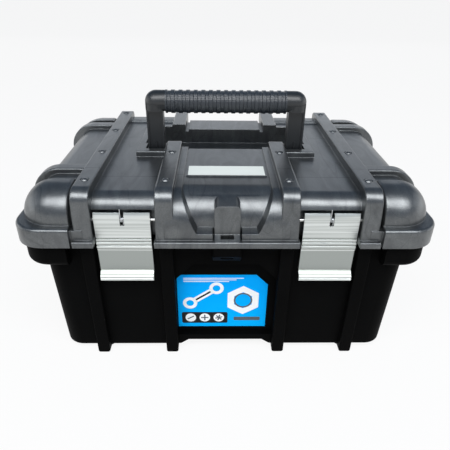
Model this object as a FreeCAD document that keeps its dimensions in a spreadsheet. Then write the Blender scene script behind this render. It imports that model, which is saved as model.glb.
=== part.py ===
"""Tool box: black tub, grey ribbed lid, two spring latches, folding handle, lift-out tray.

Millimetres. The origin is on the ground under the middle of the box,
X runs to the right, the front with the latches faces -Y, and Z is up.
"""
import FreeCAD, Part
import math
import os
import re
import Sketcher

doc = FreeCAD.newDocument("tool_box")
sheet = doc.addObject("Spreadsheet::Sheet", "Sizes")

# Driving dimensions
sizes = {
    # Tub of the base
    "foot_height": 5,
    "parting_height": 152,
    "parting_gap": 0.3,
    "body_length": 372,
    "body_depth": 253,
    "draft_angle": 2,
    "corner_radius": 21,
    "floor_radius": 3.5,
    "wall": 3,
    "tongue_height": 3.5,
    "tongue_thickness": 2,
    "tongue_clearance": 0.6,
    # Ribs that run up the base and over the lid
    "outer_rib_inset": 46,
    "inner_rib_offset": 61,
    "base_rib_width": 13.5,
    "base_rib_proud": 7.2,
    "base_rib_lean": 1.7,
    "foot_length": 40,
    "foot_relief": 3,
    "foot_edge": 2.5,
    "foot_gusset": 5.5,
    "foot_radius": 1.2,
    "lid_rib_width": 17.5,
    "rib_rise": 9.6,
    "rib_bend_proud": 5.2,
    "rib_bend_radius": 15,
    "rib_rear_radius": 6,
    "rib_rear_inset": 2,
    "rib_edge": 1.5,
    "rib_foot_reach": 5,
    "lip_height": 6.2,
    "lip_width": 20,
    "lip_edge": 1.6,
    "lip_proud": 16.5,
    "rear_step": 5.2,
    "rivet_radius": 4.2,
    "rivet_rise": 1.8,
    "rivet_seat_radius": 4.6,
    "rivet_seat_depth": 0.5,
    "rivets_per_rib": 4,
    "rivet_front_gap": 27.7,
    "rivet_rear_gap": 11.7,
    # Hood of the lid
    "hood_height": 46,
    "end_step": 1,
    "end_panel_rise": 4,
    "front_bend_radius": 20,
    "end_bend_radius": 20,
    # Straps over the ends
    "strap_gap": 25,
    "strap_width": 14,
    "strap_proud": 12,
    "strap_drop": 0.2,
    "strap_radius": 30,
    # Corner bumpers, skirts and bands
    "bumper_gap": 3.25,
    "dome_proud": 13.2,
    "dome_front_proud": 8,
    "dome_depth": 40,
    "dome_drop": 3,
    "dome_radius": 33,
    "skirt_proud": 18,
    "skirt_lap": 4,
    "skirt_height": 20,
    "skirt_radius": 31,
    "skirt_edge": 3.5,
    "bridge_inset": 5,
    "dome_edge": 4,
    "tongue_end_gap": 2,
    "band_gap": 7,
    "band_inset": 5,
    "band_height": 26,
    "band_edge": 8,
    "end_rim_height": 12,
    # Surround with a shield-shaped sunk panel, boss and padlock eye in the middle of the front
    "surround_proud": 11.5,
    "surround_rise": 2.5,
    "surround_bend": 34,
    "shield_width": 89.5,
    "shield_foot_width": 58.4,
    "shield_foot_height": 14.7,
    "shield_draft": 8,
    "panel_bend_radius": 35,
    "boss_gap": 1.5,
    "rear_panel_width": 96,
    "rear_panel_rise": 3,
    "bay_band_depth": 20,
    "bay_band_rise": 3.2,
    "bay_band_radius": 6,
    "bay_band_lap": 2,
    "boss_width": 25.5,
    "boss_proud": 6,
    "boss_height": 40.5,
    "boss_radius": 5,
    "eye_proud": 15.5,
    "eye_height": 10,
    "slot_length": 13,
    "slot_width": 5,
    "slot_edge": 4,
    "lug_height": 30,
    "lug_step": 1.5,
    "recess_depth": 5.5,
    "recess_top": 117,
    "recess_top_width": 69,
    "recess_shoulder": 96.5,
    "recess_bottom": 16,
    "channel_height": 8.5,
    "channel_slope": 12,
    # Label and nameplate
    "label_left_gap": 0.75,
    "label_right_gap": 8.25,
    "label_bottom_gap": 7.7,
    "label_cut": 13,
    "sheet_thickness": 0.5,
    "nameplate_margin": 3.75,
    "nameplate_depth": 25,
    "nameplate_thickness": 1.2,
    "nameplate_front": 77,
    "plate_ledge_width": 1.6,
    "plate_ledge_gap": 0.3,
    # Latches
    "latch_inner_gap": 5.15,
    "latch_outer_gap": 1.75,
    "latch_clearance": 1.5,
    "latch_thickness": 3,
    "latch_rise": 32,
    "latch_drop": 43.8,
    "pin_drop": 8,
    "pin_radius": 1.5,
    "pin_seat": 4,
    "knuckle_wall": 1.8,
    "running_fit": 0.06,
    "seat_fit": 0.02,
    "ridges": 3,
    "ridge_proud": 0.9,
    "ridge_height": 2.8,
    "ridge_pitch": 4.2,
    "ridge_top": 4.5,
    "lip_flare": 4.2,
    "lip_fall": 9.8,
    "lip_slope": 5,
    "lip_groove": 0.5,
    "lip_groove_rise": 2.4,
    "top_slope_height": 4,
    "top_slope_depth": 1.8,
    "latch_step": 0.9,
    "latch_step_fall": 2.2,
    "latch_lean": 0.8,
    "slot_end_gap": 1.2,
    "keeper_clearance": 1.6,
    "keeper_height": 11,
    "keeper_proud": 0.7,
    "keeper_inset": 7.3,
    "keeper_gap": 0.3,
    "swing_gap": 0.5,
    # Latch springs
    "wire_radius": 0.4,
    "coil_clearance": 0.5,
    "coil_pitch": 1.3,
    "coil_turns": 2,
    "spring_side_gap": 0.4,
    "spring_top_rise": 4.5,
    "spring_leg_down": 4.2,
    # Folding handle
    "handle_pivot_drop": 0.5,
    "handle_reach": 59.3,
    "leg_offset": 81.5,
    "leg_width": 19,
    "leg_thickness": 15,
    "leg_border": 2.2,
    "leg_panel_depth": 1.5,
    "leg_rib_width": 1.6,
    "leg_rib_height": 9,
    "elbow_step": 1.3,
    "elbow_width": 23.5,
    "elbow_height": 21.5,
    "elbow_radius": 12.6,
    "elbow_seam_drop": 14,
    "elbow_seam_width": 0.7,
    "elbow_seam_depth": 0.4,
    "grip_radius": 13,
    "core_radius": 8,
    "grip_fit": 0.05,
    "grip_flats": 16,
    "groove_width": 4.6,
    "groove_depth": 0.9,
    "groove_slope": 0.6,
    "handle_pin_radius": 3,
    "pin_end_gap": 0.4,
    "handle_side_gap": 0.5,
    "socket_outer_gap": 2.5,
    "socket_front_gap": 5,
    "fold_gap": 2.5,
    # Platform around the handle
    "platform_border": 10,
    "platform_front_border": 9.5,
    "platform_rise": 6.7,
    "platform_rear_wall": 7,
    # Rear hinges
    "hinge_radius": 4.5,
    "hinge_pin_radius": 2,
    "hinge_side_gap": 8.9,
    "hinge_eyes": 4,
    "knuckle_gap": 0.4,
    # Lift-out tray
    "tray_gap": 5,
    "tray_depth": 40,
    "tray_wall": 2,
    "tray_rim": 3,
    "tray_radius": 16,
    "tray_top_drop": 6,
    "tray_bar_thickness": 5,
    "tray_bar_rise": 14,
    "tray_bar_post": 15,
    "tray_hole_length": 90,
    "tray_hole_height": 22,
    "ledge_width": 9,
    "ledge_length": 150,
    "ledge_height": 5,
}
for row, (alias, number) in enumerate(sizes.items(), start=1):
    sheet.set("A%d" % row, alias)
    sheet.set("B%d" % row, str(number))
    sheet.setAlias("B%d" % row, alias)
doc.recompute()

# Places that several pieces share, worked out from the sizes
places = {
    "outer_rib_offset": "body_length / 2 - outer_rib_inset",
    "draft_run": "(parting_height - foot_height) * tan(draft_angle)",
    "panel_face": "body_depth / 2 + draft_run",
    "end_face": "body_length / 2 + draft_run",
    "hood_end": "end_face + end_step",
    "lid_bottom": "parting_height + parting_gap",
    "hood_top": "parting_height + hood_height",
    "lip_reach": "panel_face + lip_proud",
    "rear_reach": "lip_reach - rear_step",
    "rib_top": "hood_top + rib_rise",
    "rib_bend": "panel_face + rib_bend_proud",
    "rib_rear": "rear_reach - rib_rear_inset",
    "end_panel_top": "hood_top + end_panel_rise",
    "rivet_pitch": "(2 * rib_bend - rivet_front_gap - rivet_rear_gap) / (rivets_per_rib - 1)",
    "bumper_start": "outer_rib_offset + lid_rib_width / 2 + bumper_gap",
    "dome_top": "rib_top - dome_drop",
    "dome_reach": "hood_end + dome_proud",
    "dome_front": "panel_face + dome_front_proud",
    "dome_end": "dome_front - dome_depth",
    "skirt_reach": "hood_end + skirt_proud",
    "skirt_end": "dome_end - skirt_lap",
    "strap_top": "rib_top - strap_drop",
    "strap_reach": "hood_end + strap_proud",
    "strap_offset": "dome_end - strap_gap",
    "tongue_half": "bumper_start - tongue_end_gap",
    "band_start": "bumper_start + band_gap",
    "band_reach": "skirt_reach - band_inset",
    "band_front": "lip_reach - band_inset",
    "bay_inner": "inner_rib_offset + lid_rib_width / 2",
    "bay_outer": "outer_rib_offset - lid_rib_width / 2",
    "foot_inner": "outer_rib_offset - base_rib_width / 2",
    "rib_gap_half": "inner_rib_offset - base_rib_width / 2",
    "recess_face": "body_depth / 2 - recess_depth",
    "label_left": "-rib_gap_half + label_left_gap",
    "label_right": "rib_gap_half - label_right_gap",
    "label_low": "foot_height + recess_bottom + label_bottom_gap",
    "label_high": "foot_height + recess_shoulder",
    "lug_width": "boss_width + 2 * lug_step",
    "nameplate_half": "shield_width / 2 - nameplate_margin",
    "surround_face": "panel_face + surround_proud",
    "surround_top": "hood_top + surround_rise",
    "rear_panel_face": "panel_face + rear_panel_rise",
    "rear_panel_top": "hood_top + rear_panel_rise",
    "eye_center": "panel_face + eye_proud - slot_edge - slot_width / 2",
    "latch_inner": "bay_inner + latch_inner_gap",
    "latch_outer": "bay_outer - latch_outer_gap",
    "latch_width": "latch_outer - latch_inner",
    "latch_offset": "(latch_inner + latch_outer) / 2",
    "latch_back": "panel_face + latch_clearance",
    "latch_face": "latch_back + latch_thickness",
    "latch_top": "parting_height + latch_rise",
    "latch_foot": "parting_height - latch_drop",
    "latch_lip_top": "latch_foot + lip_fall",
    "latch_lip_face": "latch_face + lip_flare",
    "latch_ridges_foot": "parting_height + ridge_top - ridges * ridge_pitch",
    "latch_pin_z": "latch_top - pin_drop",
    "latch_knuckle": "pin_radius + running_fit + knuckle_wall",
    "latch_pin_y": "latch_face - latch_knuckle",
    "latch_swing": "sqrt(pin_drop ^ 2 + latch_knuckle ^ 2) + swing_gap",
    "latch_slot_depth": "pin_drop + spring_leg_down + slot_end_gap",
    "latch_slot_width": "coil_turns * coil_pitch + 2 * (wire_radius + spring_side_gap)",
    "coil_radius": "pin_radius + wire_radius + coil_clearance",
    "spring_leg_up": "pin_drop + spring_top_rise",
    "keeper_foot": "latch_lip_top + keeper_clearance",
    "keeper_top": "keeper_foot + keeper_height",
    "keeper_width": "latch_width - 2 * keeper_inset",
    "keeper_foot_face": "body_depth / 2 + (keeper_foot - foot_height) * tan(draft_angle)",
    "keeper_top_wall": "body_depth / 2 + (keeper_top - foot_height) * tan(draft_angle)",
    "keeper_top_face": "keeper_top_wall + keeper_proud",
    "handle_pivot_z": "hood_top - handle_pivot_drop",
    "grip_z": "handle_pivot_z + handle_reach",
    "elbow_outer": "leg_offset + leg_width / 2 + elbow_step",
    "grip_half": "elbow_outer - elbow_width",
    "flat_pitch": "2 * grip_half / grip_flats",
    "elbow_top": "grip_z + elbow_radius",
    "elbow_turn": "elbow_outer - elbow_radius",
    "elbow_seam": "elbow_top - elbow_seam_drop",
    "socket_inner": "leg_offset - leg_width / 2 - handle_side_gap",
    "socket_outer": "leg_offset + leg_width / 2 + socket_outer_gap",
    "socket_front": "leg_thickness / 2 + socket_front_gap",
    "recess_floor": "handle_pivot_z - grip_radius - fold_gap",
    "recess_rear": "handle_reach + grip_radius + fold_gap / 2",
    "recess_front": "handle_pin_radius + wall",
    "handle_pin_seat": "wall - pin_end_gap",
    "platform_outer": "socket_outer + platform_border",
    "platform_front": "socket_front + platform_front_border",
    "platform_top": "hood_top + platform_rise",
    "hinge_offset": "(inner_rib_offset + outer_rib_offset) / 2",
    "hinge_z": "parting_height",
    "hinge_y": "lip_reach - hinge_radius",
    "hinge_span": "bay_outer - bay_inner - 2 * hinge_side_gap",
    "knuckle_length": "(hinge_span - (hinge_eyes - 1) * knuckle_gap) / hinge_eyes",
    "tray_bar_length": "tray_hole_length + 2 * tray_bar_post",
    "tray_top": "parting_height - tray_top_drop",
    "tray_bottom": "tray_top - tray_depth",
    "tray_half_length": "body_length / 2 - wall - tray_gap",
    "tray_half_depth": "recess_face - wall - tray_gap",
}


def spelled(text):
    """Spell an expression out in sheet cells."""
    def cell(match):
        word = match.group()
        if word in places:
            return "(%s)" % spelled(places[word])
        return "Sizes." + word if word in sizes else word
    return re.sub(r"[a-z_]+", cell, text)


def measure(text):
    """The present value of an expression."""
    return float(sheet.evalExpression(spelled(text)))


def bind(thing, prop, text):
    thing.setExpression(prop, spelled(text))


def new_body(name):
    return doc.addObject("PartDesign::Body", name)


def draw(body, name, plane, corners, lift="0"):
    """A closed outline of straight sides on one of the body's own planes."""
    sketch = body.newObject("Sketcher::SketchObject", name)
    support = [item for item in body.Origin.OriginFeatures if item.Role == plane]
    sketch.AttachmentSupport = [(support[0], "")]
    sketch.MapMode = "FlatFace"
    bind(sketch, "AttachmentOffset.Base.z", lift)
    points = [FreeCAD.Vector(measure(u), measure(v), 0) for u, v in corners]
    count = len(points)
    sides = [Part.LineSegment(points[i], points[(i + 1) % count]) for i in range(count)]
    sketch.addGeometry(sides, False)
    for i in range(count):
        sketch.addConstraint(Sketcher.Constraint("Coincident", i, 2, (i + 1) % count, 1))
    for i, corner in enumerate(corners):
        for kind, text in zip(("DistanceX", "DistanceY"), corner):
            index = sketch.addConstraint(Sketcher.Constraint(kind, -1, 1, i, 1, measure(text)))
            bind(sketch, "Constraints[%d]" % index, text)
    return sketch


def pad(body, sketch, length, both_ways=False, draft=None):
    feature = body.newObject("PartDesign::Pad", sketch.Name + "_pad")
    feature.Profile = sketch
    bind(feature, "Length", length)
    if both_ways:
        feature.SideType = "Symmetric"
    if draft:
        bind(feature, "TaperAngle", draft)
    doc.recompute()
    return feature


def soften(body, name, radius, test):
    """Round those edges of the body's last feature that pass the test."""
    base = body.Tip
    names = ["Edge%d" % (i + 1) for i, edge in enumerate(base.Shape.Edges) if test(edge)]
    feature = body.newObject("PartDesign::Fillet", name)
    feature.Base = (base, names)
    bind(feature, "Radius", radius)
    doc.recompute()
    return feature


def runs_along(edge, axis):
    """True for a straight edge that runs along X, Y or Z."""
    if edge.Curve.TypeId != "Part::GeomLine":
        return False
    return abs(getattr(edge.tangentAt(edge.FirstParameter), axis)) > 0.99


def middle(edge):
    return edge.valueAt((edge.FirstParameter + edge.LastParameter) / 2)


def near(number, text, slack=0.05):
    return abs(number - measure(text)) < slack


def box(name, low, high):
    """A block between two corners given as expressions."""
    block = doc.addObject("Part::Box", name)
    for prop, axis, a, b in zip(("Length", "Width", "Height"), "xyz", low, high):
        bind(block, prop, "(%s) - (%s)" % (b, a))
        bind(block, "Placement.Base." + axis, a)
    return block


def rod(name, radius, start, end, y, z):
    """A round bar along X between two places."""
    bar = doc.addObject("Part::Cylinder", name)
    bar.Placement.Rotation = FreeCAD.Rotation(FreeCAD.Vector(0, 1, 0), 90)
    bind(bar, "Radius", radius)
    bind(bar, "Height", "(%s) - (%s)" % (end, start))
    bind(bar, "Placement.Base.x", start)
    bind(bar, "Placement.Base.y", y)
    bind(bar, "Placement.Base.z", z)
    return bar


def fuse(name, pieces):
    joined = doc.addObject("Part::MultiFuse", name)
    joined.Shapes = pieces
    joined.Refine = True
    return joined


def cut(name, base, tool):
    rest = doc.addObject("Part::Cut", name)
    rest.Base = base
    rest.Tool = tool
    rest.Refine = True
    return rest


def common(name, first, second):
    shared = doc.addObject("Part::Common", name)
    shared.Base = first
    shared.Tool = second
    return shared


def signed(sign, text):
    """An expression on the right, or its mirror image on the left."""
    return text if sign > 0 else "-(%s)" % text


def span(sign, low, high):
    """Two expressions in rising order on either side of the middle."""
    return (low, high) if sign > 0 else ("-(%s)" % high, "-(%s)" % low)


SIDES = (("left", -1), ("right", 1))
ENDS = (("front", -1), ("rear", 1))


# Base: the tub

def rectangle(half_length, half_depth):
    """Four corners around the middle."""
    return [("-(%s)" % half_length, "-(%s)" % half_depth), (half_length, "-(%s)" % half_depth),
            (half_length, half_depth), ("-(%s)" % half_length, half_depth)]


def tub(name, inset, bottom, height):
    """A drafted block with round corners and a round floor edge."""
    body = new_body(name)
    floor = rectangle("body_length / 2 - (%s)" % inset, "body_depth / 2 - (%s)" % inset)
    outline = draw(body, name + "_floor", "XY_Plane", floor, bottom)
    pad(body, outline, height, draft="draft_angle")
    soften(body, name + "_corners", "corner_radius - (%s)" % inset,
           lambda edge: edge.BoundBox.ZLength > 1)
    soften(body, name + "_floor_edge", "floor_radius - (%s)" % inset,
           lambda edge: near(edge.BoundBox.ZMax, bottom) and edge.BoundBox.ZLength < 0.01)
    return body


base_solids = [tub("tub_outside", "0", "foot_height", "parting_height - foot_height")]


# Base: ribs with feet, corner bands, end rims

def base_rib(name, offset):
    """A rib up the front, under the floor as a skid, and up the back."""
    body = new_body(name)
    toe = "(body_depth / 2 + base_rib_proud)"
    top = "(%s + parting_height * tan(base_rib_lean))" % toe
    skid = "foot_relief"
    outline = [("-" + toe, "0"), ("-%s + foot_length" % toe, "0"),
               ("-%s + foot_length + foot_relief" % toe, skid),
               ("%s - foot_length - foot_relief" % toe, skid), ("%s - foot_length" % toe, "0"),
               (toe, "0"), (top, "parting_height"), ("-" + top, "parting_height")]
    pad(body, draw(body, name + "_side", "YZ_Plane", outline), "base_rib_width", both_ways=True)
    soften(body, name + "_foot_edges", "foot_edge",
           lambda edge: runs_along(edge, "y") and near(middle(edge).z, "0"))
    soften(body, name + "_toes", "foot_radius",
           lambda edge: runs_along(edge, "x") and near(abs(middle(edge).y), toe))
    bind(body, "Placement.Base.x", offset)
    return body


def foot_gusset(name, side, end):
    """A wedge between the inner side of an outer foot and the floor."""
    body = new_body(name)
    seat = "foot_height + wall / 2"
    outline = [("foot_inner - foot_gusset", seat), ("foot_inner - foot_gusset", "foot_height"),
               ("foot_inner", "foot_relief / 2"), ("foot_inner + wall", "foot_relief / 2"),
               ("foot_inner + wall", seat)]
    sketch = draw(body, name + "_front", "XZ_Plane", [(signed(side, x), z) for x, z in outline])
    pad(body, sketch, "foot_length - floor_radius", both_ways=True)
    bind(body, "Placement.Base.y", signed(end, "(body_depth - foot_length - floor_radius) / 2"))
    return body


def corner_block(name, side, end, start, reach, stop, front, bottom, top):
    """An upright block at one corner, from its start along X and its stop along Y."""
    body = new_body(name)
    x_low, x_high = span(side, start, reach)
    y_low, y_high = span(end, stop, front)
    outline = [(x_low, y_low), (x_high, y_low), (x_high, y_high), (x_low, y_high)]
    pad(body, draw(body, name + "_plan", "XY_Plane", outline, bottom), "(%s) - (%s)" % (top, bottom))
    return body


def at_outer_corner(edge, reach, front):
    spot = middle(edge)
    return runs_along(edge, "z") and near(abs(spot.x), reach) and near(abs(spot.y), front)


def on_outer_sides(edge, level, reach, front):
    """True for the level edges along the outer faces and round their corner."""
    box_ = edge.BoundBox
    if box_.ZLength > 0.01 or not near(box_.ZMax, level):
        return False
    spot = middle(edge)
    if runs_along(edge, "x"):
        return near(abs(spot.y), front)
    if runs_along(edge, "y"):
        return near(abs(spot.x), reach)
    return True


def rear_or_front(end, front):
    """The rear ends short of the hinge line, the front at the lip."""
    return front if end < 0 else "rear_reach"


base_hollows = []
for side_name, side in SIDES:
    for rib_name, offset in (("outer", "outer_rib_offset"), ("inner", "inner_rib_offset")):
        rib = base_rib("%s_%s_base_rib" % (side_name, rib_name), signed(side, offset))
        base_solids.append(rib)
    for end_name, end in ENDS:
        where = "%s_%s" % (end_name, side_name)
        front = "band_front" if end < 0 else "(rear_reach - band_inset)"
        foot = "parting_height - band_height"
        band = corner_block(where + "_band", side, end, "band_start", "band_reach", "skirt_end", front,
                            foot, "parting_height")
        soften(band, where + "_band_corner", "skirt_radius - band_inset",
               lambda edge: at_outer_corner(edge, "band_reach", front))
        soften(band, where + "_band_edge", "band_edge",
               lambda edge: on_outer_sides(edge, foot, "band_reach", front))
        base_solids.append(band)
        base_solids.append(foot_gusset(where + "_foot_gusset", side, end))
        hollow = corner_block(where + "_band_hollow", side, end, "band_start + wall",
                              "band_reach - wall", "skirt_end + wall", front + " - wall",
                              foot + " + band_edge + wall", "parting_height + wall")
        soften(hollow, where + "_band_hollow_corner", "skirt_radius - band_inset - wall",
               lambda edge: at_outer_corner(edge, "band_reach - wall", front + " - wall"))
        base_hollows.append(hollow)
    x_low, x_high = span(side, "body_length / 2", "hood_end")
    base_solids.append(box(side_name + "_end_rim", (x_low, "-skirt_end", "parting_height - end_rim_height"),
                           (x_high, "skirt_end", "parting_height")))

# Base: padlock lug, latch keepers, hinge knuckles
lug = new_body("padlock_lug")
lug_side = [("-panel_face + wall", "parting_height"), ("-panel_face - eye_proud", "parting_height"),
            ("-panel_face - eye_proud", "parting_height - eye_height"),
            ("-body_depth / 2", "parting_height - lug_height"),
            ("-panel_face + wall", "parting_height - lug_height")]
pad(lug, draw(lug, "padlock_lug_side", "YZ_Plane", lug_side), "lug_width", both_ways=True)
soften(lug, "padlock_lug_corners", "slot_edge",
       lambda edge: runs_along(edge, "z") and near(middle(edge).y, "-panel_face - eye_proud"))
base_solids.append(lug)

for side_name, side in SIDES:
    keeper = new_body(side_name + "_keeper")
    ramp = [("-keeper_foot_face + wall / 2", "keeper_foot"), ("-keeper_foot_face", "keeper_foot"),
            ("-keeper_top_face", "keeper_top"), ("-keeper_top_wall + wall / 2", "keeper_top")]
    pad(keeper, draw(keeper, side_name + "_keeper_side", "YZ_Plane", ramp), "keeper_width", both_ways=True)
    bind(keeper, "Placement.Base.x", signed(side, "latch_offset"))
    base_solids.append(keeper)


def knuckle(name, start, end, below):
    """A hinge eye with its web back to the wall, under or over the parting plane."""
    eye = rod(name + "_eye", "hinge_radius", start, end, "hinge_y", "hinge_z")
    if below:
        web = new_body(name + "_web")
        outline = [("panel_face - wall", "parting_height"), ("hinge_y", "parting_height"),
                   ("hinge_y + hinge_radius", "hinge_z"), ("hinge_y", "hinge_z - hinge_radius"),
                   ("panel_face - wall", "hinge_z - hinge_radius * 3")]
    else:
        web = new_body(name + "_web")
        outline = [("panel_face - wall", "lid_bottom"), ("hinge_y", "lid_bottom"),
                   ("hinge_y", "hinge_z + hinge_radius"),
                   ("panel_face - wall", "hinge_z + hinge_radius * 3")]
    sketch = draw(web, name + "_web_side", "YZ_Plane", outline, start)
    pad(web, sketch, "(%s) - (%s)" % (end, start))
    return [eye, web]


lid_knuckles = []
for side_name, side in SIDES:
    for index in range(sizes["hinge_eyes"]):
        start = "%s - hinge_span / 2 + %d * (knuckle_length + knuckle_gap)" % (
            signed(side, "hinge_offset"), index)
        name = "%s_knuckle_%d" % (side_name, index)
        pieces = knuckle(name, start, start + " + knuckle_length", index % 2 == 0)
        if index % 2 == 0:
            base_solids.extend(pieces)
        else:
            lid_knuckles.extend(pieces)

# Base: hollow with the label recess's back standing into it, and the tray ledges
hollow_body = tub("tub_inside", "wall", "foot_height + wall", "parting_height - foot_height")


def recess_prism(name, grow, back):
    """The label recess's outline, grown by a wall, from in front of the box to its back face."""
    body = new_body(name)
    low = "foot_height + recess_bottom - (%s)" % grow
    high = "foot_height + recess_top + (%s)" % grow
    shoulder = "foot_height + recess_shoulder + (%s)" % grow
    half = "rib_gap_half + (%s)" % grow
    top_half = "recess_top_width / 2 + (%s)" % grow
    outline = [("-(%s)" % half, low), (half, low), (half, shoulder), (top_half, high),
               ("-(%s)" % top_half, high), ("-(%s)" % half, shoulder)]
    sketch = draw(body, name + "_front", "XZ_Plane", outline, back)
    pad(body, sketch, "lip_reach")
    return body


def floor_channel(name, grow):
    """The raised stretch of the floor between the inner ribs, from front to back."""
    body = new_body(name)
    top = "foot_height + channel_height + (%s)" % grow
    side = "rib_gap_half + (%s)" % grow
    right_side = [(side, "-foot_height"), (side, "foot_height"), (side + " - channel_slope", top)]
    left_side = [("-(%s)" % x, z) for x, z in reversed(right_side)]
    sketch = draw(body, name + "_front", "XZ_Plane", right_side + left_side)
    pad(body, sketch, "body_depth * 2", both_ways=True)
    return body


recess = recess_prism("label_recess", "0", "recess_face")
backing = recess_prism("label_recess_back", "wall", "recess_face - wall")
ledges = []
for side_name, side in SIDES:
    x_low, x_high = span(side, "tray_half_length - ledge_width", "end_face")
    ledges.append(box(side_name + "_tray_ledge",
                      (x_low, "-ledge_length / 2", "tray_bottom - parting_gap - ledge_height"),
                      (x_high, "ledge_length / 2", "tray_bottom - parting_gap")))
hollow_left = cut("base_hollow", fuse("base_hollows", [hollow_body] + base_hollows),
                  fuse("base_hollow_keeps", [backing, floor_channel("channel_roof", "wall")] + ledges))

tongues = []
notches = []
for side_name, side in SIDES:
    x_low, x_high = span(side, "bay_inner - wall - tongue_clearance", "bay_outer + wall + tongue_clearance")
    notches.append(box(side_name + "_tongue_notch", (x_low, "-panel_face", "parting_height"),
                       (x_high, "0", "parting_height + tongue_height * 2")))
tongue_face = "panel_face - wall - tongue_clearance"
for end_name, end in ENDS:
    y_low, y_high = span(end, tongue_face + " - tongue_thickness", tongue_face)
    tongue = box(end_name + "_tongue", ("-tongue_half", y_low, "parting_height - tongue_height"),
                 ("tongue_half", y_high, "parting_height + tongue_height"))
    if end < 0:
        tongue = cut("front_tongue_pieces", tongue, fuse("tongue_notches", notches))
    tongues.append(tongue)
    y_low, y_high = span(end, tongue_face + " - tongue_thickness", "panel_face - wall / 2")
    tongues.append(box(end_name + "_tongue_seat",
                       ("-tongue_half", y_low, "parting_height - tongue_height"),
                       ("tongue_half", y_high, "parting_height")))

lug_slot = box("lug_slot",
               ("-slot_length / 2", "-eye_center - slot_width / 2", "parting_height - lug_height"),
               ("slot_length / 2", "-eye_center + slot_width / 2", "parting_height + wall"))
hinge_bores = []
for side_name, side in SIDES:
    hinge_x = signed(side, "hinge_offset")
    hinge_bores.append(rod(side_name + "_hinge_bore", "hinge_pin_radius + seat_fit",
                           hinge_x + " - hinge_span / 2", hinge_x + " + hinge_span / 2",
                           "hinge_y", "hinge_z"))
base_outside = cut("base_outside", fuse("base_solids", base_solids),
                   fuse("base_cuts", [recess, floor_channel("channel", "0"), lug_slot] + hinge_bores))
base_shell = fuse("base_shell", [cut("base_walls", base_outside, hollow_left)] + tongues)


# Lid: the hood and its hollow

def hood(name, inset, bottom):
    """A box with a bent front and back edge and larger bends at the ends."""
    body = new_body(name)
    plan = rectangle("hood_end - (%s)" % inset, "panel_face - (%s)" % inset)
    top = "hood_top - (%s)" % inset
    pad(body, draw(body, name + "_plan", "XY_Plane", plan, bottom), "%s - (%s)" % (top, bottom))
    soften(body, name + "_end_bends", "end_bend_radius - (%s)" % inset,
           lambda edge: runs_along(edge, "y") and near(middle(edge).z, top))
    soften(body, name + "_front_bends", "front_bend_radius - (%s)" % inset,
           lambda edge: runs_along(edge, "x") and near(middle(edge).z, top))
    return body


lid_solids = [hood("hood_outside", "0", "lid_bottom")] + lid_knuckles


# Lid: ribs along it, straps over its ends

def lid_rib(name, offset):
    """An arched rib from the front lip over the top to the back."""
    body = new_body(name)
    foot_front = "(lip_reach - rib_foot_reach)"
    lip_top = "lid_bottom + lip_height"
    outline = [("-" + foot_front, "lid_bottom"), ("rib_rear", "lid_bottom"), ("rib_rear", "rib_top"),
               ("-rib_bend", "rib_top"), ("-" + foot_front, lip_top)]
    pad(body, draw(body, name + "_side", "YZ_Plane", outline), "lid_rib_width", both_ways=True)
    soften(body, name + "_front_bend", "rib_bend_radius",
           lambda edge: runs_along(edge, "x") and near(middle(edge).y, "-rib_bend"))
    soften(body, name + "_rear_bend", "rib_rear_radius",
           lambda edge: runs_along(edge, "x") and near(middle(edge).z, "rib_top")
           and near(middle(edge).y, "rib_rear"))
    soften(body, name + "_edges", "rib_edge",
           lambda edge: edge.BoundBox.XLength < 0.01 and middle(edge).z > measure(lip_top))
    bind(body, "Placement.Base.x", offset)
    return body


def end_panel(name, side, inset):
    """The raised top between an outer rib and the bend of the lid's end."""
    body = new_body(name)
    top = "end_panel_top - (%s)" % inset
    reach = "hood_end + end_step / 2 - (%s)" % inset
    outline = [("outer_rib_offset", "lid_bottom"), (reach, "lid_bottom"), (reach, top),
               ("outer_rib_offset", top)]
    sketch = draw(body, name + "_front", "XZ_Plane", [(signed(side, x), z) for x, z in outline])
    pad(body, sketch, "2 * (skirt_end - (%s))" % inset, both_ways=True)
    soften(body, name + "_bend", "end_bend_radius - (%s)" % inset,
           lambda edge: runs_along(edge, "y") and near(abs(middle(edge).x), reach)
           and near(middle(edge).z, top))
    return body


def strap(name, side, place_y):
    """A band from the outer rib over the bend of the lid's end."""
    body = new_body(name)
    inner = signed(side, "outer_rib_offset")
    outer = signed(side, "strap_reach")
    outline = [(inner, "lid_bottom"), (outer, "lid_bottom"), (outer, "strap_top"), (inner, "strap_top")]
    pad(body, draw(body, name + "_front", "XZ_Plane", outline), "strap_width", both_ways=True)
    soften(body, name + "_bend", "strap_radius",
           lambda edge: runs_along(edge, "y") and near(abs(middle(edge).x), "strap_reach")
           and near(middle(edge).z, "strap_top"))
    soften(body, name + "_edges", "rib_edge",
           lambda edge: edge.BoundBox.YLength < 0.01 and middle(edge).z > measure("lid_bottom + rib_edge")
           and abs(middle(edge).x) > measure("outer_rib_offset + rib_edge"))
    bind(body, "Placement.Base.y", place_y)
    return body


def lip(name, x_low, x_high, end):
    """The flange along the lid's lower edge, with a round top edge."""
    body = new_body(name)
    reach = rear_or_front(end, "lip_reach")
    top = "lid_bottom + lip_height"
    back = "panel_face - wall"
    outline = [(back, "lid_bottom"), (reach, "lid_bottom"), (reach, top), (back, top)]
    side = draw(body, name + "_side", "YZ_Plane", [(signed(end, y), z) for y, z in outline], x_low)
    pad(body, side, "(%s) - (%s)" % (x_high, x_low))
    soften(body, name + "_edge", "lip_edge",
           lambda edge: runs_along(edge, "x") and near(middle(edge).z, top)
           and near(abs(middle(edge).y), reach))
    return body


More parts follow.
